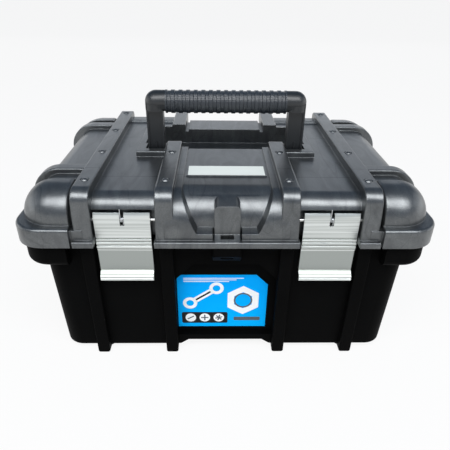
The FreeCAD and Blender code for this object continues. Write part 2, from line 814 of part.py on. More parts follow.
def rivet_seat(name, x, y):
    """The shallow round sink that a moulded rivet stands in."""
    sink = doc.addObject("Part::Cylinder", name)
    bind(sink, "Radius", "rivet_seat_radius")
    bind(sink, "Height", "rivet_seat_depth * 2")
    bind(sink, "Placement.Base.x", x)
    bind(sink, "Placement.Base.y", y)
    bind(sink, "Placement.Base.z", "rib_top - rivet_seat_depth")
    return sink


def rivet(name, x, y):
    """A low moulded dome on a rib."""
    ball = doc.addObject("Part::Sphere", name)
    bind(ball, "Radius", "rivet_radius")
    bind(ball, "Placement.Base.x", x)
    bind(ball, "Placement.Base.y", y)
    bind(ball, "Placement.Base.z", "rib_top + rivet_rise - rivet_radius")
    return ball


lid_hollows = [hood("hood_inside", "wall", "lid_bottom - wall")]
lid_cuts = []
lid_keeps = []
rivets = []
for side_name, side in SIDES:
    for rib_name, offset in (("outer", "outer_rib_offset"), ("inner", "inner_rib_offset")):
        where = "%s_%s" % (side_name, rib_name)
        rib_x = signed(side, offset)
        lid_solids.append(lid_rib(where + "_lid_rib", rib_x))
        for end_name, end in ENDS:
            if rib_name == "outer" or end > 0:
                lid_solids.append(lip("%s_%s_lip" % (where, end_name), rib_x + " - lip_width / 2",
                                      rib_x + " + lip_width / 2", end))
        rivet_rows = sizes["rivets_per_rib"]
        if rib_name == "inner":
            rivet_rows //= 2
        for row in range(rivet_rows):
            rivet_y = "-rib_bend + rivet_front_gap + %d * rivet_pitch" % row
            rivets.append(rivet("%s_rivet_%d" % (where, row), rib_x, rivet_y))
            lid_cuts.append(rivet_seat("%s_rivet_seat_%d" % (where, row), rib_x, rivet_y))
    lid_solids.append(end_panel(side_name + "_end_panel", side, "0"))
    lid_hollows.append(end_panel(side_name + "_end_panel_hollow", side, "wall"))
    for end_name, end in ENDS:
        lid_solids.append(strap("%s_%s_strap" % (end_name, side_name), side, signed(end, "strap_offset")))

# Lid: bumpers and skirts at the corners
for side_name, side in SIDES:
    for end_name, end in ENDS:
        where = "%s_%s" % (end_name, side_name)
        dome = corner_block(where + "_dome", side, end, "bumper_start", "dome_reach", "dome_end",
                            "dome_front", "lid_bottom", "dome_top")
        soften(dome, where + "_dome_corner", "dome_radius + wall",
               lambda edge: at_outer_corner(edge, "dome_reach", "dome_front"))
        soften(dome, where + "_dome_round", "dome_radius",
               lambda edge: on_outer_sides(edge, "dome_top", "dome_reach", "dome_front"))
        soften(dome, where + "_dome_edge", "dome_edge",
               lambda edge: edge.BoundBox.XLength < 0.01 and near(abs(middle(edge).x), "bumper_start")
               and middle(edge).z > measure("lid_bottom + wall")
               and abs(middle(edge).y) > measure("dome_end + wall"))
        lid_solids.append(dome)
        front = rear_or_front(end, "lip_reach")
        skirt = corner_block(where + "_skirt", side, end, "bumper_start", "skirt_reach", "skirt_end", front,
                             "lid_bottom", "lid_bottom + skirt_height")
        soften(skirt, where + "_skirt_corner", "skirt_radius",
               lambda edge: at_outer_corner(edge, "skirt_reach", front))
        soften(skirt, where + "_skirt_edge", "skirt_edge",
               lambda edge: on_outer_sides(edge, "lid_bottom + skirt_height", "skirt_reach", front))
        lid_solids.append(skirt)
        x_low, x_high = span(side, "outer_rib_offset", "bumper_start + wall")
        y_low, y_high = span(end, "panel_face - wall", front + " - bridge_inset")
        lid_solids.append(box(where + "_bridge", (x_low, y_low, "lid_bottom"),
                              (x_high, y_high, "lid_bottom + skirt_height - skirt_edge")))
        hollow = corner_block(where + "_skirt_hollow", side, end, "bumper_start + wall",
                              "skirt_reach - wall * 2", "skirt_end + wall", front + " - wall * 2",
                              "lid_bottom - wall", "lid_bottom + skirt_height - skirt_edge - wall")
        soften(hollow, where + "_skirt_hollow_corner", "skirt_radius - wall * 2",
               lambda edge: at_outer_corner(edge, "skirt_reach - wall * 2", front + " - wall * 2"))
        lid_hollows.append(hollow)

# Lid: lip across the middle, surround with the sunk shield, panel behind the recess
lip_half = "inner_rib_offset + lip_width / 2"
lid_solids.append(lip("middle_lip", "-(%s)" % lip_half, lip_half, -1))


def shield(name, ahead):
    """The sunk panel's outline, widening ahead of the hood's face or running straight back."""
    body = new_body(name)
    right_side = [("shield_foot_width / 2", "lid_bottom + shield_foot_height"),
                  ("shield_width / 2", "hood_top"), ("shield_width / 2", "rib_top")]
    left_side = [("-(%s)" % x, z) for x, z in reversed(right_side)]
    front = draw(body, name + "_front", "XZ_Plane", right_side + left_side, "panel_face")
    if ahead:
        pad(body, front, "surround_proud + wall", draft="shield_draft")
    else:
        pad(body, front, "panel_face + recess_front").Reversed = True
    return body


def bend_corner(name, half_width, radius):
    """What lies outside a round bend of the hood's front top edge, across the middle."""
    block = box(name + "_block", ("-(%s)" % half_width, "-panel_face", "hood_top - panel_bend_radius"),
                (half_width, "-panel_face + panel_bend_radius", "hood_top"))
    bar = rod(name + "_bar", radius, "-(%s)" % half_width, half_width,
              "-panel_face + panel_bend_radius", "hood_top - panel_bend_radius")
    return cut(name, block, bar)


panel_bend = common("panel_bend", shield("panel_bend_outline", False),
                    bend_corner("panel_bend_corner", "shield_width / 2", "panel_bend_radius"))
lid_solids[0] = cut("bent_hood", lid_solids[0], panel_bend)
lid_keeps.append(bend_corner("panel_bend_back", "inner_rib_offset", "panel_bend_radius - wall"))

surround = new_body("surround_block")
surround_side = [("-panel_face + wall", "lid_bottom"), ("-surround_face", "lid_bottom"),
                 ("-surround_face", "surround_top"), ("recess_front", "surround_top"),
                 ("recess_front", "hood_top - wall / 2"),
                 ("-panel_face + front_bend_radius", "hood_top - wall / 2"),
                 ("-panel_face + wall", "hood_top - front_bend_radius")]
surround_sketch = draw(surround, "surround_side", "YZ_Plane", surround_side)
pad(surround, surround_sketch, "inner_rib_offset * 2", both_ways=True)
soften(surround, "surround_bend", "surround_bend",
       lambda edge: runs_along(edge, "x") and near(middle(edge).z, "surround_top")
       and near(middle(edge).y, "-surround_face"))
boss_room = box("boss_room",
                ("-boss_width / 2 - boss_gap", "-surround_face - wall", "lid_bottom + lip_height"),
                ("boss_width / 2 + boss_gap", "-panel_face", "hood_top"))
sunk = fuse("surround_cuts", [shield("shield_mouth", True), shield("shield_floor", False), boss_room])
lid_solids.append(cut("surround", surround, sunk))

rear_panel = new_body("rear_panel")
rear_side = [("rear_panel_face", "lid_bottom"), ("rear_panel_face", "rear_panel_top"),
             ("recess_rear", "rear_panel_top"), ("recess_rear", "hood_top - wall / 2"),
             ("panel_face - front_bend_radius", "hood_top - wall / 2"),
             ("panel_face - wall / 2", "hood_top - front_bend_radius"),
             ("panel_face - wall / 2", "lid_bottom")]
rear_sketch = draw(rear_panel, "rear_panel_side", "YZ_Plane", rear_side)
pad(rear_panel, rear_sketch, "rear_panel_width", both_ways=True)
soften(rear_panel, "rear_panel_bend", "front_bend_radius + rear_panel_rise",
       lambda edge: runs_along(edge, "x") and near(middle(edge).z, "rear_panel_top")
       and near(middle(edge).y, "rear_panel_face"))
lid_solids.append(rear_panel)

for side_name, side in SIDES:
    bay_band = new_body(side_name + "_bay_band")
    band_foot = "panel_face - bay_band_depth"
    band_side = [(band_foot, "hood_top - wall / 2"), (band_foot, "hood_top"),
                 (band_foot + " + bay_band_rise", "hood_top + bay_band_rise"),
                 ("rear_panel_face", "hood_top + bay_band_rise"),
                 ("rear_panel_face", "hood_top - front_bend_radius"),
                 ("panel_face - wall / 2", "hood_top - front_bend_radius")]
    x_low, x_high = span(side, "bay_inner - bay_band_lap", "bay_outer + bay_band_lap")
    sketch = draw(bay_band, side_name + "_bay_band_side", "YZ_Plane", band_side, x_low)
    pad(bay_band, sketch, "(%s) - (%s)" % (x_high, x_low))
    soften(bay_band, side_name + "_bay_band_bend", "bay_band_radius",
           lambda edge: runs_along(edge, "x") and near(middle(edge).z, "hood_top + bay_band_rise")
           and near(middle(edge).y, "rear_panel_face"))
    lid_solids.append(bay_band)

boss = new_body("padlock_boss")
boss_side = [("-panel_face + wall", "lid_bottom"), ("-panel_face - eye_proud", "lid_bottom"),
             ("-panel_face - eye_proud", "lid_bottom + lip_height"),
             ("-panel_face - boss_proud", "lid_bottom + eye_height"),
             ("-panel_face - boss_proud", "lid_bottom + boss_height"),
             ("-panel_face + front_bend_radius", "lid_bottom + boss_height")]
pad(boss, draw(boss, "padlock_boss_side", "YZ_Plane", boss_side), "boss_width", both_ways=True)
soften(boss, "padlock_boss_corners", "boss_radius",
       lambda edge: runs_along(edge, "y") and near(middle(edge).z, "lid_bottom + boss_height"))
soften(boss, "padlock_eye_corners", "slot_edge",
       lambda edge: runs_along(edge, "z") and near(middle(edge).y, "-panel_face - eye_proud"))
lid_solids.append(boss)
ledge_half = "nameplate_half + plate_ledge_width"
ledge_rear = "-nameplate_front - plate_ledge_gap"
lid_solids.append(box("plate_ledge",
                      ("-(%s)" % ledge_half, ledge_rear + " - plate_ledge_width", "hood_top - wall / 2"),
                      (ledge_half, ledge_rear, "hood_top + nameplate_thickness")))

# Lid: platform around the handle with its recess and leg sockets
recess_half = "socket_outer + fold_gap"
for side_name, side in SIDES:
    platform = corner_block(side_name + "_platform", side, 1, "socket_inner - wall", "platform_outer",
                            "-platform_front", "recess_rear + platform_rear_wall", "hood_top - wall / 2",
                            "platform_top")
    soften(platform, side_name + "_platform_edge", "rib_edge",
           lambda edge: edge.BoundBox.ZLength < 0.01 and near(middle(edge).z, "platform_top"))
    lid_solids.append(platform)
lid_cuts.append(box("handle_recess", ("-(%s)" % recess_half, "recess_front", "recess_floor"),
                    (recess_half, "recess_rear", "rib_top + rivet_radius")))
lid_keeps.append(box("handle_recess_tub",
                     ("-(%s) - wall" % recess_half, "recess_front - wall", "recess_floor - wall"),
                     ("%s + wall" % recess_half, "recess_rear + wall", "hood_top")))
for side_name, side in SIDES:
    x_low, x_high = span(side, "socket_inner", "socket_outer")
    lid_cuts.append(box(side_name + "_leg_socket", (x_low, "-socket_front", "recess_floor"),
                        (x_high, "recess_rear", "rib_top + rivet_radius")))
    x_low, x_high = span(side, "socket_inner - wall", "socket_outer + wall")
    lid_keeps.append(box(side_name + "_leg_socket_tub",
                         (x_low, "-socket_front - wall", "recess_floor - wall"),
                         (x_high, "recess_rear", "hood_top")))
    x_low, x_high = span(side, "socket_inner - handle_pin_seat", "socket_outer + handle_pin_seat")
    lid_cuts.append(rod(side_name + "_handle_pin_bore", "handle_pin_radius + seat_fit", x_low, x_high,
                        "0", "handle_pivot_z"))

# Lid: pockets that the latch tops swing into, pin holes, hinge holes, padlock slot
for side_name, side in SIDES:
    x_low, x_high = span(side, "bay_inner", "bay_outer")
    lid_cuts.append(box(side_name + "_latch_pocket",
                        (x_low, "-panel_face - wall", "lid_bottom - wall"),
                        (x_high, "-latch_pin_y + latch_swing", "latch_pin_z + latch_swing")))
    x_low, x_high = span(side, "bay_inner - wall", "bay_outer + wall")
    lid_keeps.append(box(side_name + "_latch_pocket_back",
                         (x_low, "-panel_face", "lid_bottom"),
                         (x_high, "-latch_pin_y + latch_swing + wall", "latch_pin_z + latch_swing + wall")))
    x_low, x_high = span(side, "bay_inner - pin_seat", "bay_outer + pin_seat")
    lid_cuts.append(rod(side_name + "_latch_pin_bore", "pin_radius + seat_fit", x_low, x_high,
                        "-latch_pin_y", "latch_pin_z"))
    hinge_x = signed(side, "hinge_offset")
    lid_cuts.append(rod(side_name + "_hinge_run", "hinge_pin_radius + running_fit",
                        hinge_x + " - hinge_span / 2", hinge_x + " + hinge_span / 2", "hinge_y", "hinge_z"))
    for index in range(0, sizes["hinge_eyes"], 2):
        start = "%s - hinge_span / 2 + %d * (knuckle_length + knuckle_gap) - knuckle_gap" % (
            signed(side, "hinge_offset"), index)
        lid_cuts.append(rod("%s_hinge_relief_%d" % (side_name, index), "hinge_radius + knuckle_gap",
                            start, start + " + knuckle_length + 2 * knuckle_gap", "hinge_y", "hinge_z"))
lid_cuts.append(box("eye_slot", ("-slot_length / 2", "-eye_center - slot_width / 2", "parting_height"),
                    ("slot_length / 2", "-eye_center + slot_width / 2", "lid_bottom + eye_height + wall")))
hollow_lid = cut("lid_hollow", fuse("lid_hollows", lid_hollows), fuse("lid_keeps", lid_keeps))
lid_outside = cut("lid_outside", fuse("lid_solids", lid_solids), hollow_lid)
lid_shell = fuse("lid_shell", [cut("lid_walls", lid_outside, fuse("lid_cuts", lid_cuts))] + rivets)


# Latches: plate, pin and spring on each side

def latch_profile():
    """The extrusion's section: sloped top, ridges, leaning thumb flat, flared finger lip, hook behind."""
    outline = [("-latch_back", "latch_top"), ("-latch_face + top_slope_depth", "latch_top"),
               ("-latch_face", "latch_top - top_slope_height")]
    for ridge in range(sizes["ridges"]):
        top = "parting_height + ridge_top - %d * ridge_pitch" % ridge
        outline += [("-latch_face", top), ("-latch_face - ridge_proud", top + " - ridge_proud / 2"),
                    ("-latch_face - ridge_proud", top + " - ridge_height + ridge_proud / 2"),
                    ("-latch_face", top + " - ridge_height")]
    outline += [("-latch_face", "latch_ridges_foot"),
                ("-latch_face + latch_step", "latch_ridges_foot - latch_step_fall"),
                ("-latch_face + latch_step + latch_lean", "latch_lip_top"),
                ("-latch_lip_face", "latch_lip_top - lip_slope"),
                ("-latch_lip_face", "latch_foot + lip_groove_rise + lip_groove"),
                ("-latch_lip_face + lip_groove", "latch_foot + lip_groove_rise"),
                ("-latch_lip_face", "latch_foot + lip_groove_rise - lip_groove"),
                ("-latch_lip_face", "latch_foot"),
                ("-latch_back - lip_flare", "latch_foot"),
                ("-latch_back - lip_flare", "latch_lip_top - lip_slope"),
                ("-latch_back", "latch_lip_top"),
                ("-keeper_foot_face - keeper_gap", "keeper_foot"),
                ("-keeper_top_face - keeper_gap", "keeper_top"),
                ("-latch_back", "keeper_top")]
    return outline


def latch_plate(side_name, side):
    name = side_name + "_latch_plate"
    section = new_body(side_name + "_latch_section")
    sketch = draw(section, side_name + "_latch_profile", "YZ_Plane", latch_profile())
    pad(section, sketch, "latch_width", both_ways=True)
    middle_x = signed(side, "latch_offset")
    bind(section, "Placement.Base.x", middle_x)
    ends = (middle_x + " - latch_width / 2", middle_x + " + latch_width / 2")
    knuckle_bar = rod(side_name + "_latch_knuckle", "latch_knuckle", *ends, "-latch_pin_y", "latch_pin_z")
    bore = rod(side_name + "_latch_bore", "pin_radius + running_fit", *ends, "-latch_pin_y", "latch_pin_z")
    slot = box(side_name + "_latch_slot",
               (middle_x + " - latch_slot_width / 2", "-latch_face - wall", "latch_top - latch_slot_depth"),
               (middle_x + " + latch_slot_width / 2", "-latch_back + latch_knuckle * 2",
                "latch_top + wall"))
    return cut(name, fuse(side_name + "_latch_metal", [section, knuckle_bar]),
               fuse(side_name + "_latch_cuts", [bore, slot]))


def arc_from(start, direction, end):
    """A round arc from a point along a direction to another point."""
    chord = end - start
    along = FreeCAD.Vector(chord).normalize()
    weight = direction.dot(along)
    corner = start + direction * (chord.Length / 2 / weight)
    top = (start + corner * (2 * weight) + end) * (1 / (2 + 2 * weight))
    return Part.Arc(start, top, end).toShape()


def biarc(start, start_way, end, end_way):
    """Two arcs that join two points and leave and reach them in the given ways."""
    chord = end - start
    both = start_way + end_way
    spread = 2 * (1 - start_way.dot(end_way))
    lean = 2 * chord.dot(both)
    reach = (math.sqrt(lean * lean + 4 * spread * chord.dot(chord)) - lean) / (2 * spread)
    join = (start + start_way * reach + end - end_way * reach) * 0.5
    back = arc_from(end, end_way * -1, join)
    return [arc_from(start, start_way, join), back]


def latch_spring(side_name, side):
    """A torsion spring round the pin, one leg up over the lid's edge, one leg down in the slot."""
    coil = measure("coil_radius")
    pitch = measure("coil_pitch")
    turns = int(measure("coil_turns"))
    wire = measure("wire_radius")
    quarter_turns = 4 * turns

    def spot(quarter):
        turn = quarter * math.pi / 2
        along = pitch * (quarter / 4 - turns / 2)
        return FreeCAD.Vector(along, -coil * math.cos(turn), -coil * math.sin(turn))

    def way(quarter):
        turn = quarter * math.pi / 2
        rise = pitch / (2 * math.pi) if 0 < quarter < quarter_turns else 0
        return FreeCAD.Vector(rise, coil * math.sin(turn), -coil * math.cos(turn)).normalize()

    first = spot(0) - way(0) * measure("spring_leg_up")
    last = spot(quarter_turns) + way(quarter_turns) * measure("spring_leg_down")
    edges = [Part.LineSegment(first, spot(0)).toShape()]
    for quarter in range(quarter_turns):
        edges += biarc(spot(quarter), way(quarter), spot(quarter + 1), way(quarter + 1))
    edges.append(Part.LineSegment(spot(quarter_turns), last).toShape())
    path = Part.Wire(Part.__sortEdges__(edges))
    ring = Part.Wire(Part.Circle(first, way(0), wire).toShape())
    samples = 6
    points = [spot(step / samples) for step in range(samples * quarter_turns)]
    half_turn = 2 * samples
    gap = min((a - b).Length for i, a in enumerate(points) for b in points[i + half_turn:]) - 2 * wire
    print("%s latch spring: least gap between turns %.2f mm" % (side_name, gap))
    spring = doc.addObject("Part::Feature", side_name + "_latch_spring")
    spring.Shape = path.makePipeShell([ring], True, False)
    bind(spring, "Placement.Base.x", signed(side, "latch_offset"))
    bind(spring, "Placement.Base.y", "-latch_pin_y")
    bind(spring, "Placement.Base.z", "latch_pin_z")
    return spring


sub_parts = [base_shell, lid_shell]
for side_name, side in SIDES:
    sub_parts.append(latch_plate(side_name, side))
    sub_parts.append(latch_spring(side_name, side))
    x_low, x_high = span(side, "bay_inner - pin_seat", "bay_outer + pin_seat")
    sub_parts.append(rod(side_name + "_latch_pin", "pin_radius", x_low, x_high,
                         "-latch_pin_y", "latch_pin_z"))
    hinge_x = signed(side, "hinge_offset")
    sub_parts.append(rod(side_name + "_hinge_pin", "hinge_pin_radius", hinge_x + " - hinge_span / 2",
                         hinge_x + " + hinge_span / 2", "hinge_y", "hinge_z"))
    x_low, x_high = span(side, "socket_inner - handle_pin_seat", "socket_outer + handle_pin_seat")
    sub_parts.append(rod(side_name + "_handle_pin", "handle_pin_radius", x_low, x_high,
                         "0", "handle_pivot_z"))


# Handle: the bar with its legs, and the ribbed grip on its core

def elbow(name, side, inset):
    """A round bar that turns down from the grip's line into a leg."""
    radius = "elbow_radius - (%s)" % inset
    x_low, x_high = span(side, "grip_half", "elbow_turn")
    level = rod(name + "_level", radius, x_low, x_high, "0", "grip_z")
    ball = doc.addObject("Part::Sphere", name + "_ball")
    bind(ball, "Radius", radius)
    bind(ball, "Placement.Base.x", signed(side, "elbow_turn"))
    bind(ball, "Placement.Base.z", "grip_z")
    down = doc.addObject("Part::Cylinder", name + "_down")
    bind(down, "Radius", radius)
    bind(down, "Height", "grip_z - elbow_top + elbow_height")
    bind(down, "Placement.Base.x", signed(side, "elbow_turn"))
    bind(down, "Placement.Base.z", "elbow_top - elbow_height")
    x_low, x_high = span(side, "grip_half", "elbow_outer")
    room = box(name + "_room", (x_low, "-elbow_radius", "elbow_top - elbow_height"),
               (x_high, "elbow_radius", "elbow_top"))
    return common(name, fuse(name + "_bars", [level, ball, down]), room)


handle_pieces = [rod("handle_core", "core_radius", "-grip_half", "grip_half", "0", "grip_z")]
handle_bores = []
for side_name, side in SIDES:
    x_low, x_high = span(side, "leg_offset - leg_width / 2", "leg_offset + leg_width / 2")
    handle_pieces.append(rod(side_name + "_leg_foot", "leg_thickness / 2", x_low, x_high,
                             "0", "handle_pivot_z"))
    handle_pieces.append(box(side_name + "_leg", (x_low, "-leg_thickness / 2", "handle_pivot_z"),
                             (x_high, "leg_thickness / 2", "grip_z")))
    handle_bores.append(rod(side_name + "_leg_bore", "handle_pin_radius + running_fit", x_low, x_high,
                            "0", "handle_pivot_z"))
    x_low, x_high = span(side, "leg_offset - leg_width / 2 + leg_border",
                         "leg_offset + leg_width / 2 - leg_border")
    panel_foot = "platform_top - leg_border"
    rib_low, rib_high = span(side, "leg_offset - leg_rib_width / 2", "leg_offset + leg_rib_width / 2")
    for end_name, end in ENDS:
        where = "%s_%s_leg" % (side_name, end_name)
        y_low, y_high = span(end, "leg_thickness / 2 - leg_panel_depth", "leg_thickness")
        panel = box(where + "_panel", (x_low, y_low, panel_foot),
                    (x_high, y_high, "elbow_top - elbow_height - leg_border"))
        rib = box(where + "_rib", (rib_low, y_low, panel_foot),
                  (rib_high, y_high, panel_foot + " + leg_rib_height"))
        handle_bores.append(cut(where + "_sink", panel, rib))
    handle_pieces.append(elbow(side_name + "_elbow", side, "0"))
    x_low, x_high = span(side, "grip_half + elbow_seam_depth", "elbow_outer + elbow_step")
    seam = box(side_name + "_seam", (x_low, "-elbow_radius * 2", "elbow_seam"),
               (x_high, "elbow_radius * 2", "elbow_seam + elbow_seam_width"))
    handle_bores.append(cut(side_name + "_seam_groove", seam,
                            elbow(side_name + "_seam_core", side, "elbow_seam_depth")))
sub_parts.append(cut("handle_bar", fuse("handle_frame", handle_pieces), fuse("handle_bores", handle_bores)))

grip = new_body("handle_grip")
grip_end = "grip_half - grip_fit"
sleeve = draw(grip, "grip_section", "XY_Plane",
              [("-(%s)" % grip_end, "core_radius + grip_fit"), (grip_end, "core_radius + grip_fit"),
               (grip_end, "grip_radius"), ("-(%s)" % grip_end, "grip_radius")])
turn = grip.newObject("PartDesign::Revolution", "grip_sleeve")
turn.Profile = sleeve
turn.ReferenceAxis = (sleeve, ["H_Axis"])
turn.Angle = 360
doc.recompute()
flat_x = "-grip_half + flat_pitch / 2"
ring = draw(grip, "grip_groove_section", "XY_Plane",
            [(flat_x + " - groove_width / 2 - groove_slope", "grip_radius + groove_depth"),
             (flat_x + " - groove_width / 2 + groove_slope", "grip_radius - groove_depth"),
             (flat_x + " + groove_width / 2 - groove_slope", "grip_radius - groove_depth"),
             (flat_x + " + groove_width / 2 + groove_slope", "grip_radius + groove_depth")])
groove = grip.newObject("PartDesign::Groove", "grip_groove")
groove.Profile = ring
groove.ReferenceAxis = (ring, ["H_Axis"])
groove.Angle = 360
doc.recompute()
rings = grip.newObject("PartDesign::LinearPattern", "grip_grooves")
rings.Originals = [groove]
rings.Direction = (sleeve, ["H_Axis"])
bind(rings, "Length", "flat_pitch * (grip_flats - 1)")
bind(rings, "Occurrences", "grip_flats")
grip.Tip = rings
bind(grip, "Placement.Base.z", "grip_z")
sub_parts.append(grip)


# Tray with a middle wall and a carrying bar
def tray_block(name, inset, bottom, height):
    body = new_body(name)
    plan = rectangle("tray_half_length - (%s)" % inset, "tray_half_depth - (%s)" % inset)
    pad(body, draw(body, name + "_plan", "XY_Plane", plan, bottom), height, draft="draft_angle")
    soften(body, name + "_corners", "tray_radius - (%s)" % inset, lambda edge: edge.BoundBox.ZLength > 1)
    return body


tray_rim = tray_block("tray_rim_plate", "-tray_rim", "tray_top - tray_wall", "tray_wall")
tray_outside = tray_block("tray_outside", "0", "tray_bottom", "tray_depth")
tray_cup = cut("tray_cup", fuse("tray_solid", [tray_outside, tray_rim]),
               tray_block("tray_inside", "tray_wall", "tray_bottom + tray_wall", "tray_depth"))
bar_top = "tray_top + tray_bar_rise"
tray_wall = box("tray_middle_wall", ("-tray_half_length", "-tray_wall / 2", "tray_bottom"),
                ("tray_half_length", "tray_wall / 2", "tray_top - tray_rim"))
tray_bar = box("tray_bar", ("-tray_bar_length / 2", "-tray_bar_thickness / 2", "tray_bottom"),
               ("tray_bar_length / 2", "tray_bar_thickness / 2", bar_top))
hole_top = bar_top + " - tray_bar_thickness"
tray_hole = box("tray_finger_hole",
                ("-tray_hole_length / 2", "-tray_bar_thickness", hole_top + " - tray_hole_height"),
                ("tray_hole_length / 2", "tray_bar_thickness", hole_top))
sub_parts.append(cut("tray", fuse("tray_pieces", [tray_cup, tray_wall, tray_bar]), tray_hole))


# Printed label in its recess, blank nameplate on the sunk panel
label = new_body("front_label")
label_front = [("label_left", "label_low"), ("label_right", "label_low"),
               ("label_right", "label_high - label_cut"), ("label_right - label_cut", "label_high"),
               ("label_left", "label_high")]
pad(label, draw(label, "front_label_outline", "XZ_Plane", label_front, "recess_face"), "sheet_thickness")
sub_parts.append(label)
sub_parts.append(box("nameplate", ("-nameplate_half", "-nameplate_front", "hood_top"),
                     ("nameplate_half", "-nameplate_front + nameplate_depth",
                      "hood_top + nameplate_thickness")))

doc.recompute()
for thing in doc.Objects:
    if "Invalid" in thing.State or "Error" in thing.State:
        raise RuntimeError("%s failed: %s" % (thing.Name, thing.State))
for piece in sub_parts:
    if piece.Shape.isNull() or not piece.Shape.isValid():
        raise RuntimeError("%s has no sound shape" % piece.Label)

os.makedirs("parts", exist_ok=True)
for piece in sub_parts:
    piece.Shape.exportStep(os.path.join("parts", piece.Label + ".step"))
    print("%s: %d solid" % (piece.Label, len(piece.Shape.Solids)))
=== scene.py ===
import bpy
import math
from mathutils import Matrix, Vector


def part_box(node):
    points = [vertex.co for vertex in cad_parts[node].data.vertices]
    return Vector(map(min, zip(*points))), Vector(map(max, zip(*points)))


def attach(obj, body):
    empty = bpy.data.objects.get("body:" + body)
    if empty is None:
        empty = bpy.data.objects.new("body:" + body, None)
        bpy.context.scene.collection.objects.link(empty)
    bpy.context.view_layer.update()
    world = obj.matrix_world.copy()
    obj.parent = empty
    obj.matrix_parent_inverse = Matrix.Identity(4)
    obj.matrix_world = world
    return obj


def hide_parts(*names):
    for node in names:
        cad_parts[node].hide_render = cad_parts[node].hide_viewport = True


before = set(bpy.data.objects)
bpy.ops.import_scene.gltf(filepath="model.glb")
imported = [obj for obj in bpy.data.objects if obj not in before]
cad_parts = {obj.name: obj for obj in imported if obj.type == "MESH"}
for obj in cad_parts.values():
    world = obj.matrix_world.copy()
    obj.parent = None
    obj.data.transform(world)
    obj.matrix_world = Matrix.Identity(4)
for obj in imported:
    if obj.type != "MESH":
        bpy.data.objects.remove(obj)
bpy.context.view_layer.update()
bpy.context.scene.view_settings.view_transform = "Standard"


# Tub of the box: one deep moulding of black polypropylene with ribs, corner bands and feet.
# It comes out of the tool with a fine satin texture and rounded edges, and everything else
# is fixed to it.

MM = 0.001


def linear(hex_colour):
    """An sRGB hex colour as the linear colour that a shader takes."""
    shades = [int(hex_colour[i:i + 2], 16) / 255 for i in (1, 3, 5)]
    curve = [s / 12.92 if s <= 0.04045 else ((s + 0.055) / 1.055) ** 2.4 for s in shades]
    return (*curve, 1)


def feed(tree, node, inputs):
    """Set the sockets of a node, by a link where the value is another node's output."""
    for name, value in inputs.items():
        if isinstance(value, bpy.types.NodeSocket):
            tree.links.new(value, node.inputs[name])
        else:
            node.inputs[name].default_value = value


def add_node(tree, kind, inputs, **settings):
    """One shader node with its settings and links. A Mix of colours has them at sockets 6 and 7."""
    node = tree.nodes.new("ShaderNode" + kind)
    for name, value in settings.items():
        setattr(node, name, value)
    feed(tree, node, inputs)
    return node


def new_finish(name):
    """An empty material with its tree, its shader and the place on the piece."""
    finish = bpy.data.materials.new(name)
    finish.use_nodes = True
    tree = finish.node_tree
    shader = tree.nodes["Principled BSDF"]
    place = add_node(tree, "TexCoord", {}).outputs["Object"]
    return finish, tree, shader, place


def moulded_copy(node, name, smooth_angle=32):
    """A copy of a frame solid with merged corners and even shading over its rounds."""
    bpy.ops.object.select_all(action="DESELECT")
    piece = bpy.data.objects.new(name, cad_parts[node].data.copy())
    bpy.context.scene.collection.objects.link(piece)
    bpy.context.view_layer.objects.active = piece
    piece.select_set(True)
    bpy.ops.mesh.customdata_custom_splitnormals_clear()
    bpy.ops.object.mode_set(mode="EDIT")
    bpy.ops.mesh.select_all(action="SELECT")
    bpy.ops.mesh.remove_doubles(threshold=0.005 * MM)
    bpy.ops.object.mode_set(mode="OBJECT")
    bpy.ops.object.shade_smooth_by_angle(angle=math.radians(smooth_angle))
    weighted = piece.modifiers.new("even_shading", "WEIGHTED_NORMAL")
    weighted.keep_sharp = True
    weighted.weight = 80
    bpy.ops.object.modifier_apply(modifier=weighted.name)
    piece.data.materials.clear()
    return piece


def fit(piece, finish, body, slot, *nodes):
    """Give a piece its finish and its body, and hide the frame solids that it stands for. The slot is not
    used.
    """
    piece.data.materials.append(finish)
    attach(piece, body)
    if nodes:
        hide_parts(*nodes)


def black_polypropylene():
    """Moulded with a fine eroded texture: deep black, a faint sheen, no clear reflections."""
    finish, tree, shader, place = new_finish("black_polypropylene")
    # The eroded grain is about 0.15 mm, drawn coarser so that it shows
    grain_size = 0.9 * MM
    grain_depth = 0.05 * MM
    patch_size = 60 * MM
    edge_radius = 0.6 * MM
    grain = add_node(tree, "TexNoise", {"Vector": place, "Scale": 1 / grain_size, "Detail": 3})
    patches = add_node(tree, "TexNoise", {"Vector": place, "Scale": 1 / patch_size, "Detail": 4})
    shade = add_node(tree, "Mix", {0: patches.outputs["Fac"], 6: linear("#040404"), 7: linear("#0a0a0a")},
                     data_type="RGBA")
    gloss = add_node(tree, "MapRange", {"Value": patches.outputs["Fac"], "To Min": 0.46, "To Max": 0.6})
    edges = add_node(tree, "Bevel", {"Radius": edge_radius}, samples=4)
    texture = add_node(tree, "Bump", {"Height": grain.outputs["Fac"], "Strength": 0.12,
                                      "Distance": grain_depth, "Normal": edges.outputs["Normal"]})
    feed(tree, shader, {"Base Color": shade.outputs[2], "Roughness": gloss.outputs["Result"],
                        "Normal": texture.outputs["Normal"], "IOR": 1.49, "Specular IOR Level": 0.02})
    return finish


tub = moulded_copy("base_shell", "tub")
fit(tub, black_polypropylene(), "base", "base_plastic", "base_shell")


# Label film stuck in the recess of the front: glossy vinyl in a blue that lightens downwards.
# It is cut with one slanted corner and lies flat on the floor of the recess.

film_low, film_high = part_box("front_label")
film_face = film_low.y


